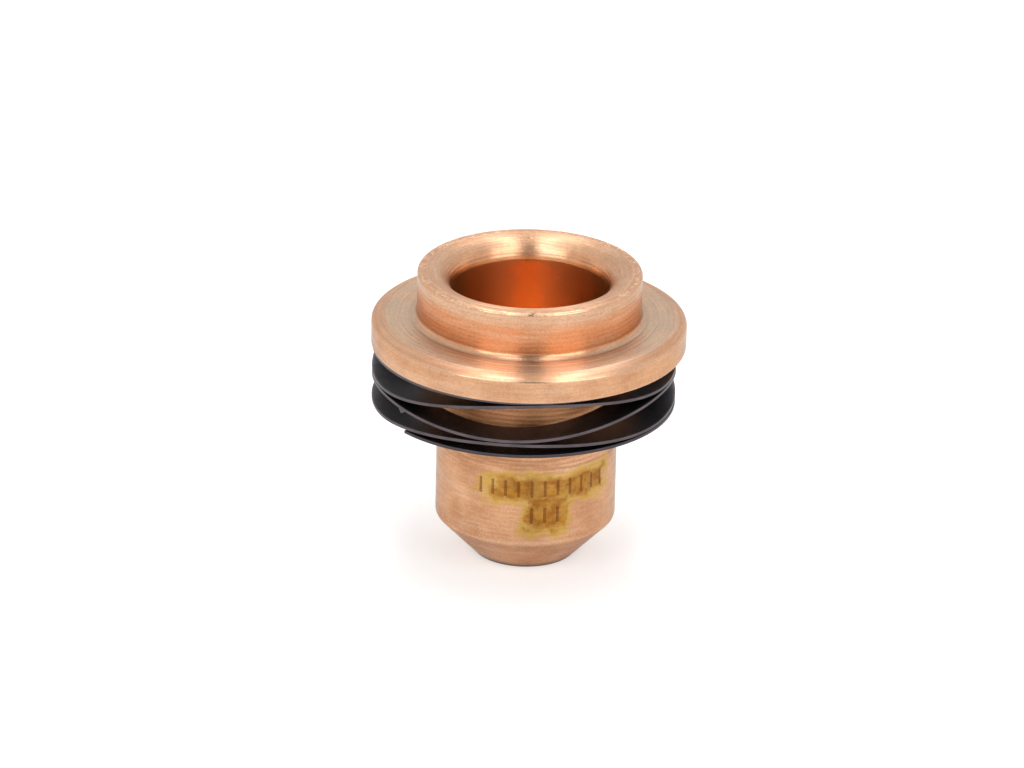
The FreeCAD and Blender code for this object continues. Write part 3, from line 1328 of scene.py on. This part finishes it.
    def outline_steps(self, sheet: NodeSheet, step: Socket) -> tuple[Value, Value, Value]:
        """Walk round the wire's section: a rounded corner, the outer rim, a corner, the top, and so on.

        Args:
            sheet: The tree's nodes.
            step: How many steps round the section the point lies.

        Returns:
            How far out and how far up the point's side lies, from -1 to 1, and the way its corner faces in
            degrees.
        """
        corner, width = self.corner_steps, self.width_steps
        rim = corner + 1
        top = rim + corner
        far_corner = top + width
        far_rim = far_corner + corner + 1
        bottom = far_rim + corner
        swings = [(start, start + corner, 90.0) for start in (0, rim, far_corner, far_rim)]
        swing = sheet.steps(step, -90.0, swings)
        slide = sheet.steps(step, 1.0, [(top, far_corner, -2.0), (bottom, bottom + width, 2.0)])
        rise = sheet.steps(step, -1.0, [(corner, rim, 2.0), (far_corner + corner, far_rim, -2.0)])
        return slide, rise, swing

    def build(self) -> bpy.types.Object:
        """Wind the wire, close its ends and lay the spring where it sits on the neck.

        Returns:
            The spring's object.
        """
        material = self.finish.material()
        tree = self.tree()
        carrier = new_object("winding", bpy.data.meshes.new("winding"))
        modifier = carrier.modifiers.new("wire", "NODES")
        modifier.node_group = tree
        sockets = {item.name: item.identifier for item in tree.interface.items_tree if item.in_out == "INPUT"}
        for name, value in self.rule().items():
            modifier[sockets[name]] = value
        modifier[sockets["Steel"]] = material
        evaluated = carrier.evaluated_get(bpy.context.evaluated_depsgraph_get())
        mesh = bpy.data.meshes.new_from_object(evaluated)
        carrier.modifiers.clear()
        bpy.data.objects.remove(carrier)
        mesh.name = "flat_wire_spring"
        lean = Matrix.Rotation(radians(-self.tilt), 4, "X")
        shift = Matrix.Translation((-self.side_play * MM, 0.0, self.seat_height * MM))
        mesh.transform(shift @ lean)
        close_and_shade(mesh)
        spring = new_object("flat_wire_spring", mesh)
        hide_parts("wave_spring")
        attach(spring, "root")
        log.info("flat_wire_spring: %d faces", len(mesh.polygons))
        return spring


def numbers(
    items: bpy.types.bpy_prop_collection, name: str, width: int = 1, kind: type = float
) -> np.ndarray:
    """Read one property of every item of a collection.

    Args:
        items: The mesh's loops or faces.
        name: The property's name.
        width: How many numbers it has.
        kind: Whether they are int or float.

    Returns:
        The numbers, a row for each item where there is more than one.
    """
    values = np.zeros(len(items) * width, dtype=kind)
    items.foreach_get(name, values)
    return values.reshape(-1, width) if width > 1 else values


def close_and_shade(mesh: bpy.types.Mesh) -> None:
    """Close a wound wire's two ends, face it outwards and give its flats even shading.

    Args:
        mesh: The wire's mesh, open at both ends.
    """
    work = bmesh.new()
    work.from_mesh(mesh)
    rims = [edge for edge in work.edges if edge.is_boundary]
    bmesh.ops.holes_fill(work, edges=rims, sides=0)
    bmesh.ops.recalc_face_normals(work, faces=work.faces)
    work.to_mesh(mesh)
    work.free()
    mesh.update()
    corners = numbers(mesh.loops, "vertex_index", kind=int)
    sizes = numbers(mesh.polygons, "loop_total", kind=int)
    facing = numbers(mesh.polygons, "normal", width=3)
    is_cap = sizes > 4
    weight = np.where(is_cap, 0.0, numbers(mesh.polygons, "area"))
    sums = np.zeros((len(mesh.vertices), 3))
    np.add.at(sums, corners, np.repeat(facing * weight[:, None], sizes, axis=0))
    shortest = 1e-20
    sums /= np.maximum(np.linalg.norm(sums, axis=1, keepdims=True), shortest)
    normals = sums[corners]
    cap_corners = np.repeat(is_cap, sizes)
    normals[cap_corners] = np.repeat(facing, sizes, axis=0)[cap_corners]
    mesh.normals_split_custom_set(normals.tolist())


def mixed(first: Vector, second: Vector, angle: float) -> tuple[Vector, Vector]:
    """Two directions at right angles, each turned towards the other's place by an angle in radians."""
    return first * cos(angle) + second * sin(angle), second * cos(angle) - first * sin(angle)


@dataclass
class Studio:
    """Pale floor, soft lamps and the camera, placed as for the photograph.

    The camera is placed in millimetres. Lamps, card and floor are in metres, and all angles but the
    camera's are in degrees. A glow of 1 is as bright as white.
    """

    camera_tilt: float = 0.39986844
    camera_distance: float = 450.0
    focal_pixels: float = 5684.733
    frame_width: int = 1024
    sensor_width: float = 36.0
    nearest_seen: float = 0.01
    yaw: float = 0.0027638
    pitch: float = 0.0119678
    roll: float = -0.0221380
    aim_height: float = 20.0
    box_height: float = 0.6
    box_inner: float = 0.066
    box_outer: float = 0.145
    box_front: float = -0.2
    box_back: float = 0.7
    gap_shift: float = 0.015
    gap_turn: float = 3.4
    box_glow: float = 4.0
    front_turn: float = 37.0
    front_lift: float = 36.0
    front_size: Pair = (0.42, 0.36)
    front_distance: float = 0.7
    front_glow: float = 1.9
    card_distance: float = 0.75
    card_lifts: Pair = (6.0, 125.0)
    card_half_widths: Pair = (0.13, 0.07)
    card_rows: int = 24
    card_colour: Colour = (1.0, 0.97, 0.94, 1.0)
    card_glows: Pair = (0.45, 0.22)
    card_levels: Pair = (0.38, 0.66)
    room_light: float = 0.45
    floor_radius: float = 3.0
    floor_sides: int = 96
    floor_colour: Colour = (0.72, 0.72, 0.72, 1.0)
    floor_seen: float = 0.48
    floor_mirrored: float = 0.3

    def camera(self) -> bpy.types.Object:
        """Stand the camera where the photograph was taken from.

        Returns:
            The camera's object.
        """
        tilt = self.camera_tilt
        right = Vector((1.0, 0.0, 0.0))
        up = Vector((0.0, sin(tilt), cos(tilt)))
        ahead = Vector((0.0, cos(tilt), -sin(tilt)))
        right, ahead = mixed(right, ahead, self.yaw)
        up, ahead = mixed(up, ahead, self.pitch)
        right, up = mixed(right, up, -self.roll)
        height = self.aim_height + self.camera_distance * sin(tilt)
        place = Vector((0.0, -self.camera_distance * cos(tilt), height))
        data = bpy.data.cameras.new("camera")
        data.sensor_width = self.sensor_width
        data.lens = self.focal_pixels / self.frame_width * data.sensor_width
        data.clip_start = self.nearest_seen
        camera = new_object("camera", data)
        turn = Matrix((right, up, -ahead)).transposed().to_4x4()
        camera.matrix_world = Matrix.Translation(place * MM) @ turn
        bpy.context.scene.camera = camera
        return camera

    def shown_share(self, sheet: NodeSheet, seen: float, mirrored: float) -> Socket:
        """A strength for rays that show the background: from the camera, in a reflection or through glass.

        Args:
            sheet: The material's nodes.
            seen: Strength for rays from the camera.
            mirrored: Strength for rays that come by a reflection or through glass.

        Returns:
            The strength's socket, 0 for every other ray.
        """
        path = sheet.put("ShaderNodeLightPath").outputs
        second_hand = sheet.math("MAXIMUM", path["Is Glossy Ray"], path["Is Transmission Ray"])
        first_hand = sheet.product(path["Is Camera Ray"], seen)
        return sheet.math("MAXIMUM", first_hand, sheet.product(second_hand, mirrored))

    def world(self) -> None:
        """White surroundings: full white where they are seen, softer where they light the object."""
        world = bpy.data.worlds.new("pale room")
        bpy.context.scene.world = world
        world.use_nodes = True
        sheet = NodeSheet(world.node_tree)
        background = sheet.found("BACKGROUND")
        shown = self.shown_share(sheet, 1.0, 1.0)
        strength = sheet.remap(shown, 0.0, 1.0, self.room_light, 1.0, smooth=False)
        sheet.feed(background.inputs["Color"], WHITE)
        sheet.feed(background.inputs["Strength"], strength)

    def floor(self) -> bpy.types.Object:
        """A round pale floor that the nozzle stands on.

        Returns:
            The floor's object.
        """
        material, sheet = new_material("pale floor")
        sheet.tree.nodes.clear()
        matte = sheet.put("ShaderNodeBsdfDiffuse", {"Color": self.floor_colour})
        strength = self.shown_share(sheet, self.floor_seen, self.floor_mirrored)
        glow = sheet.put("ShaderNodeEmission", {"Color": WHITE, "Strength": strength})
        both = sheet.put("ShaderNodeAddShader", {0: matte.outputs[0], 1: glow.outputs[0]})
        sheet.put("ShaderNodeOutputMaterial", {"Surface": both.outputs[0]})
        angles = [2.0 * pi * side / self.floor_sides for side in range(self.floor_sides)]
        rim = [(self.floor_radius * cos(angle), self.floor_radius * sin(angle), 0.0) for angle in angles]
        mesh = bpy.data.meshes.new("floor")
        mesh.from_pydata(rim, [], [tuple(range(self.floor_sides))])
        floor = new_object("floor", mesh, material)
        return floor

    def soft_box(self, name: str, side: Side, size: Pair, glow: float) -> bpy.types.Object:
        """Make one lamp with a rectangular face.

        Args:
            name: What it is called, before its side.
            side: The side that it stands on.
            size: Width and length of its face.
            glow: How bright its face is.

        Returns:
            The lamp's object, at the origin and facing down.
        """
        watts_to_area = 4.0
        data = bpy.data.lights.new(f"{name} {side.name.lower()}", "AREA")
        data.shape = "RECTANGLE"
        data.size, data.size_y = size
        data.energy = watts_to_area * glow * size[0] * size[1]
        return new_object(data.name, data)

    def overhead_lamp(self, side: Side) -> bpy.types.Object:
        """Hang one long soft box over the nozzle, to one side of a narrow gap that runs from front to back.

        Args:
            side: The side of the gap that it hangs on.

        Returns:
            The lamp's object.
        """
        size = (self.box_outer - self.box_inner, self.box_back - self.box_front)
        lamp = self.soft_box("soft box", side, size, self.box_glow)
        middle = self.gap_shift + side.value * (self.box_inner + self.box_outer) / 2.0
        lamp.location = (middle, (self.box_front + self.box_back) / 2.0, self.box_height)
        return lamp

    def front_lamp(self, side: Side) -> bpy.types.Object:
        """Stand one soft box in front of the nozzle, beside the viewer.

        Args:
            side: The side of the viewer that it stands on.

        Returns:
            The lamp's object.
        """
        lamp = self.soft_box("front box", side, self.front_size, self.front_glow)
        turn, lift = radians(self.front_turn) * side.value + radians(self.gap_turn), radians(self.front_lift)
        way = Vector((sin(turn) * cos(lift), -cos(turn) * cos(lift), sin(lift)))
        lamp.location = way * self.front_distance
        lamp.rotation_euler = way.to_track_quat("Z", "Y").to_euler()
        return lamp

    def dark_card(self) -> bpy.types.Object:
        """Bend one dark card from the viewer's side up over the nozzle, in the gap between the lamps.

        The copper shows it as the dark middle of its highlights. It lights and shades nothing.

        Returns:
            The card's object.
        """
        material, sheet = new_material("dark card")
        sheet.tree.nodes.clear()
        height = sheet.parts(sheet.put("ShaderNodeTexCoord").outputs["Object"])[2]
        strength = sheet.remap(height, *self.card_levels, *self.card_glows)
        glow = sheet.put("ShaderNodeEmission", {"Color": self.card_colour, "Strength": strength})
        sheet.put("ShaderNodeOutputMaterial", {"Surface": glow.outputs[0]})
        low, high = self.card_lifts
        wide, narrow = self.card_half_widths
        turn = Matrix.Rotation(radians(self.gap_turn), 3, "Z")
        points = []
        for row in range(self.card_rows + 1):
            share = row / self.card_rows
            lift = radians(low + (high - low) * share)
            half = wide + (narrow - wide) * share
            for edge in (-half, half):
                along, up = -cos(lift) * self.card_distance, sin(lift) * self.card_distance
                points.append(turn @ Vector((edge, along, up)))
        faces = [(2 * row, 2 * row + 1, 2 * row + 3, 2 * row + 2) for row in range(self.card_rows)]
        mesh = bpy.data.meshes.new("dark_card")
        mesh.from_pydata(points, [], faces)
        card = new_object("dark_card", mesh, material)
        card.visible_camera = False
        card.visible_diffuse = False
        card.visible_shadow = False
        return card

    def build(self) -> None:
        """Set up camera, surroundings, floor and lamps, with colours shown as they are."""
        bpy.context.scene.view_settings.view_transform = "Standard"
        self.camera()
        self.world()
        self.floor()
        self.dark_card()
        for side in Side:
            self.overhead_lamp(side)
            self.front_lamp(side)


def main() -> None:
    """Build the scene in order and report each piece."""
    logging.basicConfig(level=logging.INFO, format="%(name)s: %(message)s")
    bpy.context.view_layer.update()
    Studio().build()
    CopperNozzle(TurnedCopper()).build()
    FlatWireSpring(OxidisedSteel()).build()


if __name__ == "__main__":
    main()
